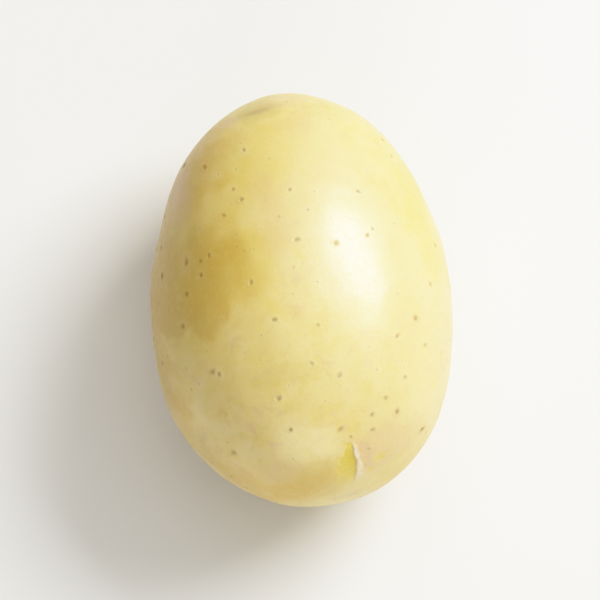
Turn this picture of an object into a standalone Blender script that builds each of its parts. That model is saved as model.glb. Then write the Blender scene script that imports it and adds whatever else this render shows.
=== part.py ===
# A washed, pale-skinned potato, lying on its side on the small flat spot that it rests on.
#
# The frame is in metres, with +Z up. The long axis runs along Y. The broad heel end, where the
# tuber grew from its stolon, points to -Y, and the slimmer rose end, where the eyes crowd
# together, points to +Y. The origin is under the middle of the tuber, on the surface it lies on.
#
# A place on the skin is a pair of angles in degrees. The first goes round the long axis from the
# top (0) to the +X side (90), the underside (180) and the -X side (270). The second goes from the
# heel (-90) over the waist (0) to the rose end (90).

import math

import bmesh
import bpy
from mathutils import Vector

# Overall sizes of the tuber as it lies.
LENGTH = 0.0820
WIDTH = 0.0590
THICKNESS = 0.0530

# How much the flat spot takes off the lowest point of the round body.
FLAT_SPOT_DEPTH = 0.0009

# Form of the body. A taper is the share by which the rose end is slimmer, and the heel fuller.
# A bend is how far both ends lean towards +X, and upwards, from a straight long axis.
TAPER_ACROSS = 0.076
TAPER_IN_HEIGHT = 0.060
SIDE_BEND = 0.0006
HEIGHT_BEND = 0.0012

# Broad swellings and, where the height is negative, hollows. The reach is from the middle to
# where the height has fallen to about a third.
SWELLINGS = (
    # round, along, reach, height
    (78, -22, 0.009, -0.0003),
    (64, -50, 0.010, 0.0004),
    (300, -18, 0.012, 0.0004),
    (318, -52, 0.014, 0.0004),
    (280, 24, 0.008, -0.0007),
    (20, 38, 0.015, -0.0004),
    (324, 66, 0.005, -0.0004),
    (76, 46, 0.013, 0.0008),
    (272, 50, 0.010, 0.0003),
    (296, 70, 0.012, 0.0006),
    (95, 16, 0.017, 0.0005),
    (128, -12, 0.016, -0.0010),
    (205, 28, 0.018, 0.0010),
    (236, -30, 0.016, 0.0011),
    (158, -46, 0.015, 0.0010),
    (262, -4, 0.015, -0.0007),
    (46, -62, 0.008, -0.0004),
    (230, 66, 0.012, -0.0007),
    (110, 62, 0.013, 0.0007),
)

# Eyes: shallow dimples, wider round the body than along it. They stand in a loose spiral.
EYE_WIDTH = 0.0100
EYE_HEIGHT = 0.0062
EYE_DEPTH = 0.0008
EYES = (
    # round, along
    (104, 4),
    (244, 16),
    (142, -30),
    (288, -38),
    (136, 44),
    (212, 50),
    (114, 73),
    (170, 68),
    (224, 77),
)

# The dimple at the heel, where the stolon broke away.
STOLON_DIMPLE_WIDTH = 0.0090
STOLON_DIMPLE_DEPTH = 0.0011
STOLON_PLACE = (176, -70)

# Facets along each edge of the cube that the round body is inflated from.
FACETS_PER_SIDE = 20

# Cut edges nearer than this join, so that the rim of the flat spot has no slivers.
RIM_MERGE = 0.0002

SKIN_COLOUR = (0.730, 0.585, 0.215, 1.0)
SKIN_ROUGHNESS = 0.42


def clear_scene():
    for obj in list(bpy.data.objects):
        bpy.data.objects.remove(obj, do_unlink=True)


def direction_at(round_degrees, along_degrees):
    """The unit direction of a place on the skin, before the body is stretched."""
    turn = math.radians(round_degrees)
    rise = math.radians(along_degrees)
    side = math.cos(rise) * math.sin(turn)
    up = math.cos(rise) * math.cos(turn)
    return Vector((side, math.sin(rise), up))


def body_point(direction):
    """The plain body: an ellipsoid that tapers to the rose end and bends a little."""
    across = 1 - TAPER_ACROSS * direction.y
    in_height = 1 - TAPER_IN_HEIGHT * direction.y
    bend = direction.y**2
    return Vector(
        (
            direction.x * across * WIDTH / 2 + SIDE_BEND * bend,
            direction.y * LENGTH / 2,
            direction.z * in_height * THICKNESS / 2 + HEIGHT_BEND * bend,
        )
    )


def body_normal(direction):
    """The outward direction of the plain body, close enough for shallow relief."""
    return Vector(
        (direction.x / WIDTH, direction.y / LENGTH, direction.z / THICKNESS)
    ).normalized()


def swelling_relief(point, centre, reach, height):
    distance = (point - centre).length
    return height * math.exp(-((distance / reach) ** 2))


def dimple_relief(point, place, width, height, depth):
    """A soft oval dimple whose width lies round the body and whose height lies along it."""
    direction = direction_at(*place)
    outward = body_normal(direction)
    around = Vector((0, 1, 0)).cross(outward).normalized()
    along = outward.cross(around)
    offset = point - body_point(direction)
    if offset.dot(outward) < -width:
        return 0.0
    spread = (offset.dot(around) / (width / 2)) ** 2
    spread += (offset.dot(along) / (height / 2)) ** 2
    return -depth * math.exp(-spread)


def relief(point):
    """How far the skin stands out from the plain body at a point."""
    total = 0.0
    for round_degrees, along_degrees, reach, height in SWELLINGS:
        centre = body_point(direction_at(round_degrees, along_degrees))
        total += swelling_relief(point, centre, reach, height)
    for place in EYES:
        total += dimple_relief(point, place, EYE_WIDTH, EYE_HEIGHT, EYE_DEPTH)
    total += dimple_relief(
        point,
        STOLON_PLACE,
        STOLON_DIMPLE_WIDTH,
        STOLON_DIMPLE_WIDTH,
        STOLON_DIMPLE_DEPTH,
    )
    return total


def even_step(coordinate):
    """Spreads a cube's grid lines so that its facets come out even on a sphere."""
    return math.tan(coordinate * math.pi / 4)


def inflate_cube(bm):
    """A cube with a grid on each side, blown up to a ball of radius 1."""
    bmesh.ops.create_cube(bm, size=2)
    bmesh.ops.subdivide_edges(
        bm, edges=bm.edges[:], cuts=FACETS_PER_SIDE - 1, use_grid_fill=True
    )
    for vert in bm.verts:
        spread = [even_step(coordinate) for coordinate in vert.co]
        vert.co = Vector(spread).normalized()


def shape_tuber(bm):
    for vert in bm.verts:
        direction = vert.co.copy()
        point = body_point(direction)
        vert.co = point + body_normal(direction) * relief(point)


def extents(bm):
    lowest = Vector([min(vert.co[axis] for vert in bm.verts) for axis in range(3)])
    highest = Vector([max(vert.co[axis] for vert in bm.verts) for axis in range(3)])
    return lowest, highest


def fit_overall_sizes(bm):
    """Brings the round body to its overall sizes, with the underside at z = -FLAT_SPOT_DEPTH."""
    lowest, highest = extents(bm)
    middle = (lowest + highest) / 2
    wanted = (WIDTH, LENGTH, THICKNESS + FLAT_SPOT_DEPTH)
    for vert in bm.verts:
        for axis in range(3):
            scale = wanted[axis] / (highest[axis] - lowest[axis])
            vert.co[axis] = (vert.co[axis] - middle[axis]) * scale
        vert.co.z += wanted[2] / 2 - FLAT_SPOT_DEPTH


def flatten_underside(bm):
    """Takes off what lies below z = 0 and closes the body with one flat face."""
    bmesh.ops.bisect_plane(
        bm,
        geom=bm.verts[:] + bm.edges[:] + bm.faces[:],
        plane_co=(0, 0, 0),
        plane_no=(0, 0, -1),
        clear_outer=True,
    )
    rim = [vert for vert in bm.verts if vert.is_boundary]
    bmesh.ops.remove_doubles(bm, verts=rim, dist=RIM_MERGE)
    rim_edges = [edge for edge in bm.edges if edge.is_boundary]
    bmesh.ops.contextual_create(bm, geom=rim_edges)
    bmesh.ops.recalc_face_normals(bm, faces=bm.faces[:])


def skin_material():
    material = bpy.data.materials.new("potato_skin")
    material.use_nodes = True
    shader = material.node_tree.nodes["Principled BSDF"]
    shader.inputs["Base Color"].default_value = SKIN_COLOUR
    shader.inputs["Roughness"].default_value = SKIN_ROUGHNESS
    shader.inputs["Metallic"].default_value = 0.0
    material.diffuse_color = SKIN_COLOUR
    return material


def make_potato():
    bm = bmesh.new()
    inflate_cube(bm)
    shape_tuber(bm)
    fit_overall_sizes(bm)
    flatten_underside(bm)
    mesh = bpy.data.meshes.new("potato")
    bm.to_mesh(mesh)
    bm.free()
    mesh.shade_smooth()
    mesh.materials.append(skin_material())
    potato = bpy.data.objects.new("potato", mesh)
    bpy.context.scene.collection.objects.link(potato)
    return potato


clear_scene()
make_potato()
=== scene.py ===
import math
import random

import bmesh
import bpy
import numpy as np
from mathutils import Matrix, Vector, kdtree, noise
from mathutils.bvhtree import BVHTree


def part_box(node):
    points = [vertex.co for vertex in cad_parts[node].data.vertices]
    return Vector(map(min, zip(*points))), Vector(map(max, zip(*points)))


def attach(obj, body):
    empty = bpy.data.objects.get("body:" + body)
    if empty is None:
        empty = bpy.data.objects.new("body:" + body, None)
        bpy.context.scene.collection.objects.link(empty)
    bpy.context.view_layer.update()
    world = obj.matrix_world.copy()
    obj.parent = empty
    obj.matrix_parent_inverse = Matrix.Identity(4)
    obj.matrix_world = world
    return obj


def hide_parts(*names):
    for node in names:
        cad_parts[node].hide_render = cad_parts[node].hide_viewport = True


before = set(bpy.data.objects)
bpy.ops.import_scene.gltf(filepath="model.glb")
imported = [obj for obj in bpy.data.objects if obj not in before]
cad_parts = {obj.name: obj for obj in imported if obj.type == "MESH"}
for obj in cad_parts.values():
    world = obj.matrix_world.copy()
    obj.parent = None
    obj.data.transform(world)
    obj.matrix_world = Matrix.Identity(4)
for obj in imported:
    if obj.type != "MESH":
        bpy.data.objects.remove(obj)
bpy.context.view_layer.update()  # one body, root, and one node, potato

mm = 0.001
boxLow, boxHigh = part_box("potato")
middle = (boxLow + boxHigh) / 2
half = (boxHigh - boxLow) / 2
print("frame: loaded, potato", [round(side * 2 / mm, 1) for side in half], "mm")

# Places on the skin are (round, along) in degrees: round the long axis from the top (0) to +X (90)
# and the underside (180), and along it from the heel (-90) over the waist (0) to the rose end (90).

tuber = {
    "guideLevels": 3,  # how finely the frame's facets are rounded over
    "flatEnough": 30,  # triangles that meet at less than this, in degrees, join into quads
    "squareEnough": 50,
    "mapGap": 0.012,  # margin round each side of the colour map
    "gridLines": 88,  # quads along each side of the cube that the skin grows from
    "settlePasses": 2,  # evens out what is left of the facets
    "swayHeight": 0.16 * mm,  # soft unevenness that a hand feels
    "swaySize": 13 * mm,
    "dimpleHeight": 0.035 * mm,  # finer unevenness that breaks up the shine
    "dimpleSize": 3.2 * mm,
    "spotHeight": 0.7 * mm,  # relief fades out this near to the surface it rests on
    "finerEyes": (4.3 * mm, 2.2 * mm),  # the mesh is split once, and then again, within these radii
    "finerScar": (3.6 * mm, 2.4 * mm),
    "finerScuff": (5.6 * mm, 4.2 * mm),
    "finerFlecks": 2.2 * mm,
}


def roundedGuide(node):
    # a smooth copy of the frame's faceted solid, only used to be measured
    mesh = node.data.copy()
    bm = bmesh.new()
    bm.from_mesh(mesh)
    bmesh.ops.remove_doubles(bm, verts=bm.verts[:], dist=0.001 * mm)
    bmesh.ops.join_triangles(
        bm,
        faces=bm.faces[:],
        angle_face_threshold=math.radians(tuber["flatEnough"]),
        angle_shape_threshold=math.radians(tuber["squareEnough"]),
    )
    bm.to_mesh(mesh)
    bm.free()
    guideObject = bpy.data.objects.new("tuberGuide", mesh)
    bpy.context.scene.collection.objects.link(guideObject)
    rounding = guideObject.modifiers.new("rounding", "SUBSURF")
    rounding.levels = tuber["guideLevels"]
    tree = BVHTree.FromObject(guideObject, bpy.context.evaluated_depsgraph_get())
    bpy.data.objects.remove(guideObject)
    return tree


guide = roundedGuide(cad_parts["potato"])


def onGuide(way):
    point, normal = guide.ray_cast(middle, way)[:2]
    return point, normal


def spotAt(roundAngle, alongAngle, turned=0):
    # a point on the skin with its outward, crosswise and lengthwise directions
    turn = math.radians(roundAngle)
    rise = math.radians(alongAngle)
    way = Vector((
        math.cos(rise) * math.sin(turn) * half.x,
        math.sin(rise) * half.y,
        math.cos(rise) * math.cos(turn) * half.z,
    ))
    point, normal = onGuide(way.normalized())
    across = Vector((0, 1, 0)).cross(normal).normalized()
    lengthwise = normal.cross(across)
    swing = math.radians(turned)
    right = across * math.cos(swing) + lengthwise * math.sin(swing)
    up = lengthwise * math.cos(swing) - across * math.sin(swing)
    return {"point": point, "out": normal, "right": right, "up": up}


def skinGrid():
    bm = bmesh.new()
    bmesh.ops.create_cube(bm, size=2)
    cuts = tuber["gridLines"] - 1
    bmesh.ops.subdivide_edges(bm, edges=bm.edges[:], cuts=cuts, use_grid_fill=True)
    return bm


def layOutMap(bm):
    # the six sides of the cube, three by two, make an even map of the whole skin
    layer = bm.loops.layers.uv.new("OFBake")
    gap = tuber["mapGap"]
    for face in bm.faces:
        centre = face.calc_center_median()
        axis = max(range(3), key=lambda one: abs(centre[one]))
        facing = 1 if centre[axis] > 0 else 0
        column, row = axis, facing
        first, second = [one for one in range(3) if one != axis]
        for loop in face.loops:
            u = gap + (loop.vert.co[first] + 1) / 2 * (1 - 2 * gap)
            v = gap + (loop.vert.co[second] + 1) / 2 * (1 - 2 * gap)
            loop[layer].uv = ((column + u) / 3, (row + v) / 2)


def growSkin(bm):
    for vert in bm.verts:
        way = Vector([math.tan(one * math.pi / 4) for one in vert.co]).normalized()
        way = Vector((way.x * half.x, way.y * half.y, way.z * half.z)).normalized()
        vert.co = onGuide(way)[0]
    for _ in range(tuber["settlePasses"]):
        bmesh.ops.smooth_vert(
            bm, verts=bm.verts[:], factor=0.5, use_axis_x=True, use_axis_y=True, use_axis_z=True
        )


def refineAround(bm, discs):
    # splits the quads near each (point, radius) in four, and sets the new corners on the guide
    tree = kdtree.KDTree(len(bm.faces))
    bm.faces.ensure_lookup_table()
    for face in bm.faces:
        tree.insert(face.calc_center_median(), face.index)
    tree.balance()
    chosen = set()
    for point, radius in discs:
        chosen.update(index for _, index, _ in tree.find_range(point, radius))
    edges = {edge for index in chosen for edge in bm.faces[index].edges}
    before = set(bm.verts)
    bmesh.ops.subdivide_edges(bm, edges=list(edges), cuts=1, use_grid_fill=True)
    for vert in bm.verts:
        if vert not in before:
            vert.co = onGuide((vert.co - middle).normalized())[0]
    bm.normal_update()


def bell(distance, width):
    return np.exp(-((distance / width) ** 2))


def ramp(value, start, end):
    share = np.clip((value - start) / (end - start), 0, 1)
    return share * share * (3 - 2 * share)


def wander(points, size, shift=0.0):
    # smooth noise from -1 to 1, read at each point
    return np.array([noise.noise(Vector(one) / size + Vector((shift, 0, 0))) for one in points])


class Skin:
    # the grown skin: where each corner is, how far the relief moves it, and what is painted there

    def __init__(self, bm):
        self.points = np.array([vert.co[:] for vert in bm.verts])
        self.normals = np.array([vert.normal[:] for vert in bm.verts])
        self.height = np.zeros(len(self.points))
        self.slide = np.zeros((len(self.points), 3))
        self.paint = {}

    def near(self, spot, reach):
        offset = self.points - np.array(spot["point"])
        close = np.where((offset**2).sum(1) < reach**2)[0]
        close = close[self.normals[close] @ np.array(spot["out"]) > 0]
        u = offset[close] @ np.array(spot["right"])
        v = offset[close] @ np.array(spot["up"])
        return close, u, v

    def lay(self, name, where, amount):
        layer = self.paint.setdefault(name, np.zeros(len(self.points)))
        layer[where] = np.maximum(layer[where], np.clip(amount, 0, 1))


# eyes stand where the frame has its dimples; size scales the brow and the buds
eyes = {
    "places": [  # round, along, turned, size, how marked
        (104, 4, 4, 1.0, 1.0),
        (244, 16, -8, 0.95, 1.0),
        (142, -30, 10, 0.9, 0.9),
        (288, -38, -6, 0.6, 0.1),
        (136, 44, -12, 0.85, 0.9),
        (212, 50, 8, 0.9, 1.0),
        (114, 73, 0, 0.7, 0.8),
        (170, 68, 20, 0.75, 1.0),
        (224, 77, -15, 0.8, 0.9),
    ],
    "reach": 6.5 * mm,
    "browHalf": 4.0 * mm,  # from the middle of the brow to its tip
    "browDrop": 1.5 * mm,  # how far the brow hangs below the bud
    "browArch": 0.9,  # share of that drop which is gone at the brow's tips
    "browHeight": 0.30 * mm,
    "browWidth": 0.50 * mm,
    "browAbove": 0.35 * mm,  # from the brow's line out to its ridge
    "browSway": 0.18 * mm,
    "browSwaySize": 1.6 * mm,
    "grooveDepth": 0.26 * mm,
    "grooveWidth": 0.34 * mm,
    "grooveBelow": 0.30 * mm,  # from the brow's line in to the groove under it
    "hollowDepth": 0.30 * mm,
    "hollowSize": (2.5 * mm, 1.25 * mm),
    "roughHeight": 0.05 * mm,
    "roughSize": 0.5 * mm,
    "budRadius": 0.52 * mm,
    "budHeight": 0.34 * mm,
    "budRimDepth": 0.09 * mm,
    "buds": [(0.0, 0.0, 1.0), (-1.15, 0.22, 0.62), (1.0, 0.3, 0.55)],  # mm, mm, size
}


def carveEyes(skin):
    for index, (roundAngle, alongAngle, turned, size, marked) in enumerate(eyes["places"]):
        spot = spotAt(roundAngle, alongAngle, turned)
        where, u, v = skin.near(spot, eyes["reach"])
        u, v = u / size, v / size
        sway = wander(skin.points[where], eyes["browSwaySize"], index * 3.1) * eyes["browSway"]
        arch = 1 - eyes["browArch"] * (u / eyes["browHalf"]) ** 2
        brow = sway - eyes["browDrop"] * arch
        fade = np.exp(-((u / eyes["browHalf"]) ** 4) * 1.6)
        ridge = bell(v - brow + eyes["browAbove"], eyes["browWidth"]) * fade
        groove = bell(v - brow - eyes["grooveBelow"], eyes["grooveWidth"]) * fade
        hollow = bell(u, eyes["hollowSize"][0]) * bell(v + 0.2 * mm, eyes["hollowSize"][1])
        rise = ridge * eyes["browHeight"] - groove * eyes["grooveDepth"]
        rise -= hollow * eyes["hollowDepth"]
        rough = wander(skin.points[where], eyes["roughSize"], index * 1.7) * eyes["roughHeight"]
        rise += rough * np.maximum(hollow, ridge)
        for besideMm, aboveMm, budSize in eyes["buds"]:
            radius = eyes["budRadius"] * budSize
            away = np.hypot(u - besideMm * mm, (v - aboveMm * mm) * 1.25)
            bud = bell(away, radius)
            rise += bud * eyes["budHeight"] * budSize
            rim = bell(away - radius * 1.5, radius * 0.45)
            rise -= rim * eyes["budRimDepth"]
            skin.lay("bud", where, bud * 1.1 * marked)
            # painted shade in the dip round each bud
            skin.lay("crease", where, rim * 0.75 * marked)
        skin.height[where] += rise * size * marked
        # painted shade in the groove under the brow
        skin.lay("crease", where, groove * 0.9 * marked)
        skin.lay("cork", where, ridge * 0.42 * marked)
        skin.lay("blush", where, hollow * 0.8 * marked)


# the scar where the stolon broke away, on the underside of the heel
stolonScar = {
    "place": (176, -70),
    "reach": 6 * mm,
    "ringRadius": 2.3 * mm,
    "ringHeight": 0.22 * mm,
    "ringWidth": 0.42 * mm,
    "plugRadius": 0.9 * mm,
    "plugHeight": 0.35 * mm,
    "points": 6,  # rays of the star
    "rayDepth": 0.10 * mm,
    "floorDepth": 0.12 * mm,
    "roughHeight": 0.07 * mm,
    "roughSize": 0.55 * mm,
}


def carveStolonScar(skin):
    spot = spotAt(*stolonScar["place"])
    where, u, v = skin.near(spot, stolonScar["reach"])
    away = np.hypot(u, v)
    angle = np.arctan2(v, u)
    star = np.cos(stolonScar["points"] * angle + 1.1) * 0.32 + np.cos(angle * 3 + 0.4) * 0.25
    edge = stolonScar["ringRadius"] * (1 + 0.22 * star)
    rough = wander(skin.points[where], stolonScar["roughSize"])
    ring = bell(away - edge, stolonScar["ringWidth"])
    floor = 1 - ramp(away, edge * 0.55, edge)
    plug = bell(away, stolonScar["plugRadius"])
    rays = ramp(star, 0.15, 0.5) * ramp(away, 0.5 * mm, 1.4 * mm)
    rays *= 1 - ramp(away, 2 * mm, 3.4 * mm)
    rise = ring * stolonScar["ringHeight"] + plug * stolonScar["plugHeight"]
    rise += floor * (rough * stolonScar["roughHeight"] - stolonScar["floorDepth"])
    rise -= rays * stolonScar["rayDepth"]
    skin.height[where] += rise
    skin.lay("cork", where, (1 - ramp(away, edge * 0.95, edge * 1.25)) * (0.85 + 0.15 * rough))
    # darker in the scar's star and in a ring round its plug: partly the scar's own brown, partly
    # painted shade in these dips
    skin.lay("crease", where, rays * 0.8 + bell(away - 1.25 * mm, 0.3 * mm) * 0.5)


# where the thin skin has rubbed off near the heel and its edge has curled back
scuff = {
    "place": (18, -58, -4),  # round, along, turned
    "reach": 13 * mm,
    "topAbove": 4.8 * mm,  # from the middle to its top end
    "length": 12 * mm,
    "width": 4.9 * mm,
    "widensOver": 3.0 * mm,
    "depth": 0.15 * mm,
    "lean": 0.30,  # how much the torn edge runs to the right on its way down
    "bulge": 0.7 * mm,  # how far the torn edge bows out on the way
    "curlHeight": 0.17 * mm,
    "curlWidth": 0.34 * mm,
    "curlLean": 0.16 * mm,  # how far the curled edge leans over the bare patch
    "lipHeight": 0.09 * mm,
    "lipWidth": 0.20 * mm,
    "looseHeight": 0.04 * mm,  # the skin to the right of the tear has lifted a little
    "looseRipple": 0.06 * mm,
    "coarseFray": (1.5 * mm, 0.30 * mm),  # size and swing of the torn edge's wandering
    "fineFray": (0.5 * mm, 0.13 * mm),
    "fleckDepth": 0.09 * mm,
    "fleckPlace": (45, -56),  # round and along, near which the mesh is made finer for the flecks
    "flecks": [  # right, up, half sizes in mm, turned
        (6.6, 0.9, 1.9, 1.1, 35),
        (5.4, -2.2, 0.9, 0.5, 55),
    ],
}


def carveScuff(skin):
    spot = spotAt(*scuff["place"])
    where, u, v = skin.near(spot, scuff["reach"])
    points = skin.points[where]
    coarseSize, coarseSwing = scuff["coarseFray"]
    fineSize, fineSwing = scuff["fineFray"]
    frayed = wander(points, coarseSize) * coarseSwing + wander(points, fineSize, 5) * fineSwing
    below = scuff["topAbove"] - v
    down = np.clip(below / scuff["length"], 0, 1)
    edge = -0.3 * mm + scuff["lean"] * below + np.sin(down * math.pi) * scuff["bulge"] + frayed
    width = 0.3 * mm + scuff["width"] * (1 - np.exp(-np.maximum(below, 0) / scuff["widensOver"]))
    inside = edge - u
    span = ramp(below, -0.2 * mm, 1.0 * mm)
    span *= 1 - ramp(below + frayed * 3, scuff["length"] * 0.60, scuff["length"] * 0.95)
    worn = 1 - ramp(inside + frayed * 2, width * 0.62, width * 1.1)
    bare = ramp(inside, -0.02 * mm, 0.20 * mm) * worn * span
    curlSpan = ramp(below, 0, 1.6 * mm) * (1 - ramp(below + frayed * 2, 7.5 * mm, 11.5 * mm))
    widening = (0.7 + 0.16 * np.maximum(below, 0) / mm) * (1 + wander(points, 1.2 * mm, 2) * 0.5)
    across = -inside / (scuff["curlWidth"] * widening)
    curl = bell(across - 1.1, 1.1) * curlSpan
    lip = bell(inside + 0.14 * mm, scuff["lipWidth"]) * curlSpan
    loose = ramp(-inside, 0, 0.8 * mm) * (1 - ramp(-inside + frayed * 3, 2.5 * mm, 7.0 * mm))
    loose *= ramp(below, -2.0 * mm, 1.0 * mm) * (1 - ramp(below, 4.5 * mm, 10.0 * mm))
    ripple = wander(points, 0.9 * mm, 9) * scuff["looseRipple"] * loose
    unevenCurl = 0.7 + 0.7 * wander(points, 1.4 * mm, 12)
    rise = curl * scuff["curlHeight"] * unevenCurl + ripple + loose * scuff["looseHeight"]
    rise += lip * scuff["lipHeight"] - bare * scuff["depth"]
    skin.height[where] += rise
    skin.slide[where] -= np.outer(lip * scuff["curlLean"] * unevenCurl, np.array(spot["right"]))
    skin.lay("bare", where, bare)
    # painted shadow of the curled edge: a deeper yellow on the bare patch just inside its torn edge
    curlShadow = bell(inside - 0.9 * mm, 1.5 * mm) * bell(below - 4.6 * mm, 3.0 * mm)
    skin.lay("deepBare", where, curlShadow * bare)
    skin.lay("curl", where, curl * (0.75 + 0.4 * wander(points, 0.8 * mm, 6)) + lip * 0.4)
    skin.lay("blush", where, loose * 0.95)
    for besideMm, aboveMm, longHalf, shortHalf, turned in scuff["flecks"]:
        swing = math.radians(turned)
        du, dv = u - besideMm * mm, v - aboveMm * mm
        a = (du * math.cos(swing) + dv * math.sin(swing)) / (longHalf * mm)
        b = (dv * math.cos(swing) - du * math.sin(swing)) / (shortHalf * mm)
        fleck = 1 - ramp(np.hypot(a, b) + frayed / (0.6 * mm), 0.3, 1.3)
        skin.height[where] -= fleck * scuff["fleckDepth"]
        skin.lay("bare", where, fleck * 0.75)


# a shallow crease near the rose end, on the seen side
crease = {"place": (343, 61, 6), "half": 3.2 * mm, "width": 1.1 * mm, "depth": 0.11 * mm}


def carveCrease(skin):
    spot = spotAt(*crease["place"])
    where, u, v = skin.near(spot, crease["half"] * 2.2)
    line = bell(v - 0.12 * u - 0.05 * (u**2) / mm, crease["width"]) * bell(u, crease["half"])
    skin.height[where] -= line * crease["depth"]
    skin.lay("olive", where, line)
    # painted shade along the crease's line
    skin.lay("crease", where, line * 0.4)


# lenticels, the corky breathing pores; the ones named stand out on the seen side
lenticels = {
    "named": [  # round, along, radius in mm
        (312, 9, 0.36), (295, 8, 0.34), (320, 4, 0.26), (320, 8, 0.22), (324, 9, 0.24),
        (312, 0, 0.30), (308, -8, 0.36), (341, -1, 0.26), (339, 42, 0.22), (316, 39, 0.28),
        (335, 28, 0.22), (339, 24, 0.26), (331, 20, 0.20), (0, 25, 0.22), (30, 23, 0.27),
        (15, 7, 0.30), (0, 9, 0.27), (32, 11, 0.24), (29, 9, 0.24), (348, -12, 0.25),
        (4, -15, 0.20), (47, -14, 0.30), (37, -19, 0.27), (53, -21, 0.26), (58, -4, 0.24),
        (318, -22, 0.30), (321, -23, 0.24), (0, -25, 0.24), (11, -29, 0.26), (344, -33, 0.30),
        (33, -36, 0.26), (42, -30, 0.24), (27, -41, 0.22), (41, -40, 0.28), (11, -45, 0.24),
        (346, -43, 0.22), (309, -46, 0.30), (29, -46, 0.24), (30, -53, 0.20), (17, -48, 0.18),
    ],
    "kinds": [
        {
            "count": 120,
            "radius": (0.22, 0.48),  # mm
            "dark": (0.55, 1.0),
            "apart": 3.0 * mm,
            "hiddenSide": True,
        },
        {
            "count": 180,
            "radius": (0.13, 0.24),  # mm
            "dark": (0.25, 0.5),
            "apart": 1.65 * mm,
            "hiddenSide": False,
        },
    ],
    "seenHalf": 62,  # degrees either side of the top, where only the named and the faint ones stand
    "offEyes": 3.4 * mm,
    "grown": 1.6,  # scales the named ones
    # on this flank, turned from the key lamp, the pores' browner paint is painted shade
    "shadedSide": range(270, 336),  # here they are browner than on the rest of the seen side
    "seed": 11,
    "pitDepth": 0.26,  # this and the next are shares of the radius
    "rimHeight": 0.10,
    "pitReach": 1.05,
    "rimPlace": 1.5,
    "haloReach": 2.6,
}


def chooseLenticels():
    draw = random.Random(lenticels["seed"])
    found = []

    def add(spot, radius, dark, paint="lenticel"):
        shape = {"radius": radius * mm, "stretch": draw.uniform(1.0, 1.6), "dark": dark}
        shape["paint"] = paint
        shape["pale"] = draw.choice((0.0, 0.1, 0.25, 0.45))
        found.append({**spot, **shape})

    for roundAngle, alongAngle, radius in lenticels["named"]:
        spot = spotAt(roundAngle, alongAngle, draw.uniform(0, 180))
        # named pores on that flank take the browner paint at full darkness as painted shade; on the
        # rest of the seen side they are a tenth lighter, as painted light
        paint, shade = ("rust", 1.0) if roundAngle in lenticels["shadedSide"] else ("lenticel", 0.9)
        add(spot, radius * lenticels["grown"], draw.uniform(0.6, 0.95) * shade, paint)
    keepOff = [spotAt(*place[:2])["point"] for place in eyes["places"]]
    keepOff.append(spotAt(*stolonScar["place"])["point"])
    keepOff.append(spotAt(*scuff["place"])["point"])
    for kind in lenticels["kinds"]:
        wanted = len(found) + kind["count"]
        while len(found) < wanted:
            alongAngle = math.degrees(math.asin(draw.uniform(-0.99, 0.99)))
            roundAngle = draw.uniform(0, 360)
            spot = spotAt(roundAngle, alongAngle, draw.uniform(0, 180))
            radius = draw.uniform(*kind["radius"])
            dark = draw.uniform(*kind["dark"])
            seen = not lenticels["seenHalf"] <= roundAngle <= 360 - lenticels["seenHalf"]
            if seen and kind["hiddenSide"]:
                continue
            crowded = any((one["point"] - spot["point"]).length < kind["apart"] for one in found)
            onEye = any((one - spot["point"]).length < lenticels["offEyes"] for one in keepOff)
            if not crowded and not onEye:
                add(spot, radius, dark)
    return found


def carveLenticels(skin, found):
    for one in found:
        where, u, v = skin.near(one, one["radius"] * 5)
        away = np.hypot(u / one["stretch"], v) / one["radius"]
        away += wander(skin.points[where], one["radius"] * 1.4) * 0.35
        pit = bell(away, lenticels["pitReach"])
        rim = bell(away - lenticels["rimPlace"], 0.5)
        skin.height[where] -= pit * one["radius"] * lenticels["pitDepth"]
        skin.height[where] += rim * one["radius"] * lenticels["rimHeight"]
        skin.lay(one["paint"], where, pit * one["dark"])
        # the pale halo is partly the pore's paler surround and partly painted highlight where its
        # raised rim catches the light
        skin.lay("halo", where, bell(away, lenticels["haloReach"]) * one["pale"])


tintReach = 0.9  # share of its half size at which a tint has faded to half

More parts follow.
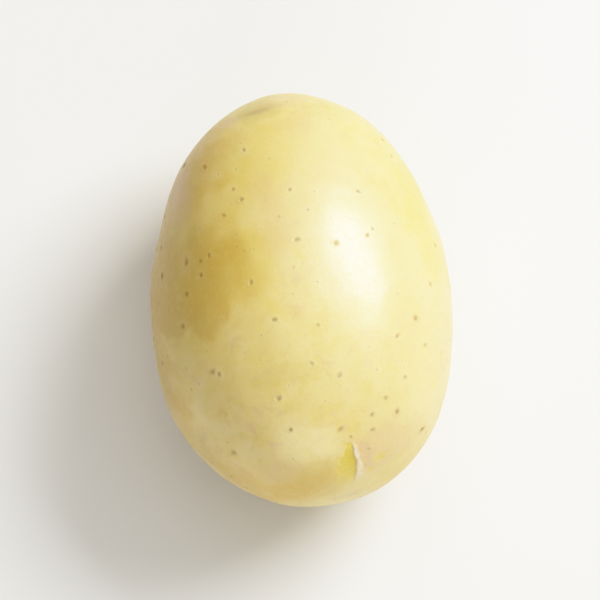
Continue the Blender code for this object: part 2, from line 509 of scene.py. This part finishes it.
# broad tints: kind, round, along, turned, half size across and along in mm, strength, and the
# share of that half size over which the edge fades
tints = [
    # on the seen left flank, round 296 to 341, the golden, ochre and olive tints are partly the
    # skin's own patches and partly painted shade and warm reflected light, where that flank turns
    # from the key lamp
    ("golden", 304, 12, 4, 20.0, 27.0, 0.9, 0.9),
    ("golden", 334, 40, 0, 12.0, 20.0, 0.75, 0.9),
    ("golden", 341, 3, 0, 6.0, 13.0, 0.9, 0.9),
    ("golden", 62, 14, 0, 5.0, 14.0, 0.6, 0.9),
    ("golden", 332, -66, 0, 12.0, 6.0, 0.4, 0.9),
    ("ochre", 316, 6, 6, 12.0, 9.0, 0.85, 0.9),
    ("ochre", 296, 7, 0, 9.0, 11.0, 0.9, 0.9),
    ("ochre", 304, -5, -3, 10.0, 4.0, 0.9, 0.25),
    ("ochre", 320, -6, -3, 6.0, 5.5, 0.7, 0.3),
    ("ochre", 338, -1, 0, 4.5, 6.0, 0.45, 0.9),
    ("ochre", 300, 30, -14, 9.0, 12.0, 0.5, 0.9),
    # the tan tints, down the left edge, towards the rose end and at the lower left, are painted
    # shade where the light falls off
    ("tan", 286, 10, 0, 6.0, 34.0, 0.8, 0.9),
    ("tan", 302, 46, 20, 9.0, 14.0, 0.7, 0.9),
    ("tan", 288, -56, 0, 5.0, 10.0, 0.6, 0.9),
    ("tan", 322, -71, 0, 12.0, 4.5, 0.85, 1.3),
    ("olive", 342, 62, -4, 6.5, 4.0, 0.95, 0.9),
    ("olive", 330, 4, 30, 6.0, 5.0, 0.45, 0.9),
    ("olive", 312, 20, 10, 4.0, 8.0, 0.35, 0.9),
    ("olive", 347, -27, 0, 7.0, 2.2, 0.35, 0.9),
    ("olive", 30, 58, 0, 8.0, 4.0, 0.35, 0.9),
    ("blush", 297, 34, 30, 3.2, 9.0, 0.8, 1.5),
    ("blush", 320, 58, 50, 2.0, 3.5, 0.6, 0.9),
    ("blush", 45, -50, 30, 8.0, 5.0, 0.55, 0.9),
    ("blush", 8, 66, 0, 6.0, 4.0, 0.5, 0.9),
    ("blush", 330, -58, 0, 5.0, 3.0, 0.35, 0.9),
    ("blush", 12, 52, 40, 5.0, 3.5, 0.35, 0.9),
    ("blush", 352, 16, 10, 3.5, 10.0, 0.35, 0.9),
    # the two pale tints on the seen right side are painted sheen: paler, bluer skin beside and
    # below the highlight
    ("pale", 20, 14, 8, 13.0, 24.0, 1.0, 0.9),
    ("pale", 48, -20, 0, 16.0, 24.0, 0.75, 0.9),
    ("golden", 150, 20, 15, 16.0, 20.0, 0.8, 0.9),
    ("ochre", 232, -20, -20, 9.0, 12.0, 0.6, 0.9),
    ("ochre", 150, -8, 10, 7.0, 9.0, 0.45, 0.9),
    ("golden", 200, 52, 0, 15.0, 12.0, 0.7, 0.9),
    ("amber", 96, -60, 0, 9.0, 9.0, 0.5, 0.9),
    ("amber", 214, 8, 0, 9.0, 12.0, 0.4, 0.9),
    ("blush", 116, -44, 30, 6.0, 4.0, 0.5, 0.9),
    ("blush", 250, 60, 0, 7.0, 4.0, 0.4, 0.9),
    ("olive", 84, 30, 0, 8.0, 8.0, 0.35, 0.9),
    ("pale", 200, -30, 0, 12.0, 12.0, 0.6, 0.9),
]


def layTints(skin):
    blot = wander(skin.points, 4.5 * mm, 3) * 0.35 + wander(skin.points, 1.8 * mm, 8) * 0.16
    for kind, roundAngle, alongAngle, turned, acrossMm, lengthMm, strength, edge in tints:
        spot = spotAt(roundAngle, alongAngle, turned)
        where, u, v = skin.near(spot, max(acrossMm, lengthMm) * 2 * mm)
        away = np.hypot(u / (acrossMm * mm), v / (lengthMm * mm)) + blot[where]
        faded = ramp(away, tintReach - edge / 2, tintReach + edge / 2)
        skin.lay(kind, where, (1 - faded) * strength)


def carveSway(skin):
    points = skin.points
    skin.height += wander(points, tuber["swaySize"]) * tuber["swayHeight"]
    skin.height += wander(points, tuber["swaySize"] * 0.45, 4) * tuber["swayHeight"] * 0.4
    skin.height += wander(points, tuber["dimpleSize"], 7) * tuber["dimpleHeight"]


def settleRelief(bm, skin):
    fade = ramp(skin.points[:, 2], 0.05 * mm, tuber["spotHeight"])
    moved = skin.points + skin.normals * (skin.height * fade)[:, None]
    moved += skin.slide * fade[:, None]
    moved[:, 2] = np.maximum(moved[:, 2], 0)
    for vert, place in zip(bm.verts, moved):
        vert.co = place


def makeSkin():
    bm = skinGrid()
    layOutMap(bm)
    growSkin(bm)
    pores = chooseLenticels()
    eyeSpots = [(spotAt(*place[:2])["point"], place[3]) for place in eyes["places"]]
    scarPoint = spotAt(*stolonScar["place"])["point"]
    scuffPoint = spotAt(*scuff["place"])["point"]
    fleckPoint = spotAt(*scuff["fleckPlace"])["point"]
    coarse = [(point, tuber["finerEyes"][0] * size) for point, size in eyeSpots]
    coarse += [(scarPoint, tuber["finerScar"][0]), (scuffPoint, tuber["finerScuff"][0])]
    coarse.append((fleckPoint, tuber["finerFlecks"]))
    coarse += [(one["point"], one["radius"] * 2.6 + 0.25 * mm) for one in pores]
    refineAround(bm, coarse)
    fine = [(point, tuber["finerEyes"][1] * size) for point, size in eyeSpots]
    fine += [(scarPoint, tuber["finerScar"][1]), (scuffPoint, tuber["finerScuff"][1])]
    fine += [(one["point"], one["radius"] * 1.9 + 0.1 * mm) for one in pores]
    refineAround(bm, fine)
    bm.verts.ensure_lookup_table()
    bm.normal_update()
    print("skin: grown,", len(bm.faces), "faces,", len(pores), "lenticels")
    skin = Skin(bm)
    carveSway(skin)
    carveEyes(skin)
    carveStolonScar(skin)
    carveCrease(skin)
    carveScuff(skin)
    carveLenticels(skin, pores)
    layTints(skin)
    settleRelief(bm, skin)
    bmesh.ops.recalc_face_normals(bm, faces=bm.faces[:])
    mesh = bpy.data.meshes.new("potatoSkin")
    bm.to_mesh(mesh)
    bm.free()
    mesh.shade_smooth()
    for name, values in sorted(skin.paint.items()):
        layer = mesh.attributes.new(name, "FLOAT", "POINT")
        layer.data.foreach_set("value", values.astype(np.float32))
    print("skin: carved and painted,", sum(len(f.vertices) - 2 for f in mesh.polygons), "triangles")
    potatoSkin = bpy.data.objects.new("potatoSkin", mesh)
    bpy.context.scene.collection.objects.link(potatoSkin)
    return potatoSkin


potatoSkin = makeSkin()

skinFinish = {
    "cream": (0.745, 0.590, 0.225),
    "straw": (0.760, 0.620, 0.270),
    # pale is painted sheen on the seen right side, and a random paler tone on the far side
    "pale": (0.770, 0.630, 0.320),
    "golden": (0.715, 0.545, 0.120),
    "ochre": (0.600, 0.385, 0.035),
    "amber": (0.760, 0.495, 0.045),
    # tan is painted shade on the left edge and at the lower left
    "tan": (0.630, 0.405, 0.035),
    "olive": (0.570, 0.450, 0.095),
    "blush": (0.680, 0.465, 0.240),
    "bare": (0.720, 0.555, 0.090),
    # a deeper copy of the bare flesh's colour, laid as the curled edge's painted shadow
    "deepBare": (0.655, 0.490, 0.040),
    "curl": (0.810, 0.675, 0.475),
    "cork": (0.400, 0.265, 0.120),
    # crease is painted shade laid in the eyes' grooves, round the buds and along the crease; in the
    # scar's star it is partly the scar's own brown
    "crease": (0.250, 0.155, 0.065),
    "bud": (0.330, 0.190, 0.105),
    "lenticel": (0.290, 0.195, 0.060),
    # a browner, darker copy of the lenticel colour: painted shade for the pores on the flank turned
    # from the key lamp
    "rust": (0.370, 0.200, 0.018),
    # halo: partly the pores' paler surround, partly painted highlight on their rims
    "halo": (0.840, 0.740, 0.440),
    "netting": (0.640, 0.490, 0.190),
    "roughness": 0.34,
    "specular": 0.95,
    "bend": 1.45,  # index of refraction
    "subsurface": 0.20,
    "subsurfaceRadius": (1.0, 0.55, 0.22),
    "subsurfaceScale": 0.0014,
    "cloudSize": 16 * mm,
    "blotchSize": 5.5 * mm,
    "mottleSize": 2.6 * mm,
    "mottleShare": 0.30,
    "flushSize": 3.4 * mm,
    "flushShare": 0.45,
    "grainSize": 1.1 * mm,
    "cellSize": 1.1 * mm,  # of the papery skin's netting
    "netShare": 0.20,
    "speckSize": 0.55 * mm,
    "speckShare": 0.38,
    "haloShare": 0.5,
    "peelHeight": 0.03 * mm,
    "netHeight": 0.010 * mm,
    "fineHeight": 0.012 * mm,
    # how strongly each tint colours the ground
    "tintShare": {
        "pale": 0.85,
        "golden": 0.85,
        "amber": 0.85,
        "tan": 0.85,
        "olive": 0.8,
        "ochre": 0.85,
        "blush": 0.85,
    },
    # what each mark adds to the roughness
    "duller": {
        "cork": 0.35,
        "lenticel": 0.5,
        "rust": 0.5,
        "crease": 0.3,
        "bare": -0.08,
        "curl": 0.12,
    },
}


class NodeBench:
    # short ways to lay out a material's nodes

    def __init__(self, name):
        self.material = bpy.data.materials.new(name)
        self.material.use_nodes = True
        self.tree = self.material.node_tree
        self.shader = self.tree.nodes["Principled BSDF"]
        self.place = self.tree.nodes.new("ShaderNodeTexCoord").outputs["Object"]

    def join(self, source, target):
        if isinstance(source, bpy.types.NodeSocket):
            self.tree.links.new(source, target)
        else:
            target.default_value = source

    def painted(self, name):
        node = self.tree.nodes.new("ShaderNodeAttribute")
        node.attribute_name = name
        return node.outputs["Fac"]

    def noise(self, size, detail=3.0, roughness=0.55, distortion=0.0, place=None):
        node = self.tree.nodes.new("ShaderNodeTexNoise")
        self.join(place or self.place, node.inputs["Vector"])
        node.inputs["Scale"].default_value = 1 / size
        node.inputs["Detail"].default_value = detail
        node.inputs["Roughness"].default_value = roughness
        node.inputs["Distortion"].default_value = distortion
        return node.outputs["Fac"]

    def cells(self, size, feature, place=None):
        node = self.tree.nodes.new("ShaderNodeTexVoronoi")
        node.feature = feature
        self.join(place or self.place, node.inputs["Vector"])
        node.inputs["Scale"].default_value = 1 / size
        return node.outputs["Distance"]

    def shaken(self, size, amount):
        # the place, pushed about by noise, so that lines drawn from it waver
        node = self.tree.nodes.new("ShaderNodeTexNoise")
        self.join(self.place, node.inputs["Vector"])
        node.inputs["Scale"].default_value = 1 / size
        scaled = self.tree.nodes.new("ShaderNodeVectorMath")
        scaled.operation = "MULTIPLY_ADD"
        self.join(node.outputs["Color"], scaled.inputs[0])
        scaled.inputs[1].default_value = (amount, amount, amount)
        self.join(self.place, scaled.inputs[2])
        return scaled.outputs["Vector"]

    def maths(self, operation, a, b=0.0, c=0.0):
        node = self.tree.nodes.new("ShaderNodeMath")
        node.operation = operation
        for value, socket in zip((a, b, c), node.inputs):
            self.join(value, socket)
        return node.outputs["Value"]

    def span(self, value, low, high, toLow=0.0, toHigh=1.0):
        node = self.tree.nodes.new("ShaderNodeMapRange")
        node.interpolation_type = "SMOOTHSTEP"
        self.join(value, node.inputs["Value"])
        limits = {"From Min": low, "From Max": high, "To Min": toLow, "To Max": toHigh}
        for name, number in limits.items():
            node.inputs[name].default_value = number
        return node.outputs["Result"]

    def mix(self, share, under, over):
        node = self.tree.nodes.new("ShaderNodeMix")
        node.data_type = "RGBA"
        sockets = {one.identifier: one for one in node.inputs}
        self.join(share, sockets["Factor_Float"])
        for name, colour in (("A_Color", under), ("B_Color", over)):
            self.join((*colour, 1.0) if isinstance(colour, tuple) else colour, sockets[name])
        return [one for one in node.outputs if one.identifier == "Result_Color"][0]

    def bump(self, height, distance, strength=1.0, under=None):
        node = self.tree.nodes.new("ShaderNodeBump")
        node.inputs["Strength"].default_value = strength
        node.inputs["Distance"].default_value = distance
        self.join(height, node.inputs["Height"])
        if under is not None:
            self.join(under, node.inputs["Normal"])
        return node.outputs["Normal"]


def potatoSkinFinish():
    finish = skinFinish
    bench = NodeBench("potatoSkinFinish")
    shader = bench.shader
    # ground colour: broad clouds from pale to golden, then blotches a few millimetres wide
    clouds = bench.span(bench.noise(finish["cloudSize"], 2.0), 0.36, 0.66)
    colour = bench.mix(clouds, finish["cream"], finish["straw"])
    blotches = bench.span(bench.noise(finish["blotchSize"], 4.0, 0.6, 0.4), 0.46, 0.72, 0.0, 0.6)
    colour = bench.mix(blotches, colour, finish["golden"])
    mottle = bench.noise(finish["mottleSize"], 3.0, 0.6, 0.6)
    mottle = bench.span(mottle, 0.50, 0.74, 0.0, finish["mottleShare"])
    colour = bench.mix(mottle, colour, finish["olive"])
    flush = bench.noise(finish["flushSize"], 2.0, 0.5, 0.8)
    flush = bench.span(flush, 0.54, 0.74, 0.0, finish["flushShare"])
    colour = bench.mix(flush, colour, finish["blush"])
    grain = bench.noise(finish["grainSize"], 4.0, 0.7)
    # painted tints: the skin's own patches, with painted shade on the seen left flank and painted
    # sheen on its right
    for name, strength in finish["tintShare"].items():
        painted = bench.painted(name)
        broken = bench.maths("MULTIPLY", painted, bench.span(grain, 0.25, 0.6, 0.7, 1.0))
        colour = bench.mix(bench.maths("MULTIPLY", broken, strength), colour, finish[name])
    # the papery skin's fine netting and its specks
    wavering = bench.shaken(0.9 * mm, 1.3 * mm)
    lines = bench.cells(finish["cellSize"], "DISTANCE_TO_EDGE", wavering)
    lines = bench.span(lines, 0.0, 0.11, 1.0, 0.0)
    netPatches = bench.span(bench.noise(7 * mm, 2.0), 0.42, 0.68, 0.0, finish["netShare"])
    colour = bench.mix(bench.maths("MULTIPLY", lines, netPatches), colour, finish["netting"])
    specks = bench.noise(finish["speckSize"], 2.0, 0.5)
    specks = bench.span(specks, 0.66, 0.76, 0.0, finish["speckShare"])
    colour = bench.mix(specks, colour, finish["ochre"])
    # marks laid on the skin: its own cork, buds, pores and bare flesh, with painted shade in the
    # grooves, the curled edge's painted shadow on the bare patch, painted highlight in the pores'
    # halos and the pores' browner painted shade side
    ragged = bench.span(bench.noise(0.3 * mm, 3.0, 0.6), 0.30, 0.62, 0.75, 1.0)
    for name in ("halo", "bare", "deepBare", "curl", "cork", "crease", "bud", "lenticel", "rust"):
        share = bench.maths("MULTIPLY", bench.painted(name), ragged)
        if name == "halo":
            share = bench.maths("MULTIPLY", share, finish["haloShare"])
        colour = bench.mix(share, colour, finish[name])
    bench.join(colour, shader.inputs["Base Color"])
    # dry cork is duller, bare flesh a little glossier
    rough = bench.span(grain, 0.2, 0.8, finish["roughness"] - 0.05, finish["roughness"] + 0.07)
    for name, change in finish["duller"].items():
        rough = bench.maths("MULTIPLY_ADD", bench.painted(name), change, rough)
    bench.join(rough, shader.inputs["Roughness"])
    # relief too fine for the mesh
    peel = bench.bump(bench.noise(1.3 * mm, 2.0, 0.5), finish["peelHeight"], 0.8)
    net = bench.bump(lines, finish["netHeight"], 0.7, peel)
    fine = bench.bump(bench.noise(0.28 * mm, 4.0, 0.65), finish["fineHeight"], 0.8, net)
    bench.join(fine, shader.inputs["Normal"])
    shader.inputs["IOR"].default_value = finish["bend"]
    shader.inputs["Specular IOR Level"].default_value = finish["specular"]
    shader.inputs["Subsurface Weight"].default_value = finish["subsurface"]
    shader.inputs["Subsurface Radius"].default_value = finish["subsurfaceRadius"]
    shader.inputs["Subsurface Scale"].default_value = finish["subsurfaceScale"]
    return bench.material


potatoSkin.data.materials.append(potatoSkinFinish())
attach(potatoSkin, "root")
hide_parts("potato")
print("finish: skin material made")

stand = {
    "side": 6.0,
    "colour": (0.83, 0.815, 0.785),
    "cloud": (0.78, 0.765, 0.735),  # a touch darker, in broad faint clouds
    "cloudSize": 60 * mm,
    "cloudShare": 0.06,
    "roughness": 0.6,
}


def makeFloor():
    bm = bmesh.new()
    bmesh.ops.create_grid(bm, x_segments=1, y_segments=1, size=stand["side"] / 2)
    mesh = bpy.data.meshes.new("floor")
    bm.to_mesh(mesh)
    bm.free()
    bench = NodeBench("floorFinish")
    tone = bench.span(bench.noise(stand["cloudSize"], 2.0), 0.3, 0.7, 0.0, stand["cloudShare"])
    colour = bench.mix(tone, stand["colour"], stand["cloud"])
    bench.join(colour, bench.shader.inputs["Base Color"])
    bench.shader.inputs["Roughness"].default_value = stand["roughness"]
    mesh.materials.append(bench.material)
    floor = bpy.data.objects.new("floor", mesh)
    bpy.context.scene.collection.objects.link(floor)


view = {
    "azimuth": -7.0,  # turned a little, so that the rose end leans to the left
    "elevation": 78.0,  # looks down on the side that faces up
    "lens": 320.0,
    "sensor": 36.0,
    "heightShare": 0.70,  # of the picture's height that the tuber fills
}


def cameraAxes():
    turn, rise = math.radians(view["azimuth"]), math.radians(view["elevation"])
    right = Vector((math.cos(turn), math.sin(turn), 0))
    level = Vector((math.sin(turn), -math.cos(turn), 0))
    back = level * math.cos(rise) + Vector((0, 0, math.sin(rise)))
    return right, back.cross(right), back


def makeCamera():
    right, up, back = cameraAxes()
    data = bpy.data.cameras.new("camera")
    data.lens = view["lens"]
    data.sensor_width = view["sensor"]
    data.clip_start, data.clip_end = 0.01, 100
    camera = bpy.data.objects.new("camera", data)
    bpy.context.scene.collection.objects.link(camera)
    tall = half.y * 2 / view["heightShare"]
    distance = tall / 2 / (view["sensor"] / 2 / view["lens"])
    camera.location = middle + back * distance
    camera.rotation_mode = "QUATERNION"
    camera.rotation_quaternion = back.to_track_quat("Z", "Y")
    bpy.context.scene.camera = camera


# each lamp hangs in a direction seen from the camera: right, up, towards it
# away is in metres and roll, in degrees, tips a softbox over
lamps = {
    "tallSoftbox": {
        "way": (0.60, 0.56, 0.60),
        "away": 0.75,
        "size": (0.30, 0.45),
        "roll": -20,
        "power": 6.0,
        "tint": (1.0, 1.0, 1.0),
    },
    "lowFill": {
        "way": (0.05, -0.80, 0.60),
        "away": 0.8,
        "size": (0.6, 0.4),
        "roll": 0,
        "power": 2.3,
        "tint": (1.0, 1.0, 1.0),
    },
}
wash = {"way": (0.12, 0.45, 0.88), "spread": 70, "strength": 0.95, "tint": (1.0, 1.0, 1.0)}
# a pale studio: brighter round the horizon than overhead
room = {"horizon": (0.430, 0.422, 0.395), "overhead": (0.180, 0.175, 0.162), "fadeOut": 0.6}


def towardsCamera(way):
    right, up, back = cameraAxes()
    return (right * way[0] + up * way[1] + back * way[2]).normalized()


def aimed(way, rollDegrees):
    upright = cameraAxes()[1]
    tall = (upright - way * upright.dot(way)).normalized()
    wide = tall.cross(way)
    roll = math.radians(rollDegrees)
    tipped = tall * math.cos(roll) + wide * math.sin(roll)
    return Matrix((tipped.cross(way), tipped, way)).transposed().to_quaternion()


def hangLamp(name, kind, way, away, roll=0):
    data = bpy.data.lights.new(name, kind)
    lamp = bpy.data.objects.new(name, data)
    bpy.context.scene.collection.objects.link(lamp)
    lamp.location = middle + way * away
    lamp.rotation_mode = "QUATERNION"
    lamp.rotation_quaternion = aimed(way, roll)
    return data


def hangLamps():
    for name, lamp in lamps.items():
        data = hangLamp(name, "AREA", towardsCamera(lamp["way"]), lamp["away"], lamp["roll"])
        data.shape = "RECTANGLE"
        data.size, data.size_y = lamp["size"]
        data.energy = lamp["power"]
        data.color = lamp["tint"]
    data = hangLamp("wash", "SUN", towardsCamera(wash["way"]), 1.0)
    data.angle = math.radians(wash["spread"])
    data.energy = wash["strength"]
    data.color = wash["tint"]


def paintRoom():
    world = bpy.data.worlds.new("studio")
    world.use_nodes = True
    tree = world.node_tree
    place = tree.nodes.new("ShaderNodeTexCoord").outputs["Generated"]
    split = tree.nodes.new("ShaderNodeSeparateXYZ")
    tree.links.new(place, split.inputs["Vector"])
    fade = tree.nodes.new("ShaderNodeMapRange")
    fade.interpolation_type = "SMOOTHSTEP"
    tree.links.new(split.outputs["Z"], fade.inputs["Value"])
    fade.inputs["From Max"].default_value = room["fadeOut"]
    blend = tree.nodes.new("ShaderNodeMix")
    blend.data_type = "RGBA"
    sockets = {one.identifier: one for one in blend.inputs}
    tree.links.new(fade.outputs["Result"], sockets["Factor_Float"])
    sockets["A_Color"].default_value = (*room["horizon"], 1)
    sockets["B_Color"].default_value = (*room["overhead"], 1)
    result = [one for one in blend.outputs if one.identifier == "Result_Color"][0]
    tree.links.new(result, tree.nodes["Background"].inputs["Color"])
    bpy.context.scene.world = world


# how brightness is written to the picture: highlights roll off instead of burning out
rollOff = [(0.35, 0.35), (0.70, 0.69), (1.00, 0.875), (1.35, 0.965)]
rollOffEnd = (1.9, 1)


def softenHighlights():
    settings = bpy.context.scene.view_settings
    settings.view_transform = "Standard"
    settings.use_curve_mapping = True
    settings.curve_mapping.use_clip = False
    settings.curve_mapping.initialize()
    for curve in settings.curve_mapping.curves[:3]:
        curve.points[1].location = rollOffEnd
        for before, after in rollOff:
            curve.points.new(before, after)
    settings.curve_mapping.update()


makeFloor()
makeCamera()
hangLamps()
paintRoom()
softenHighlights()
print("studio: floor, camera and lamps set")
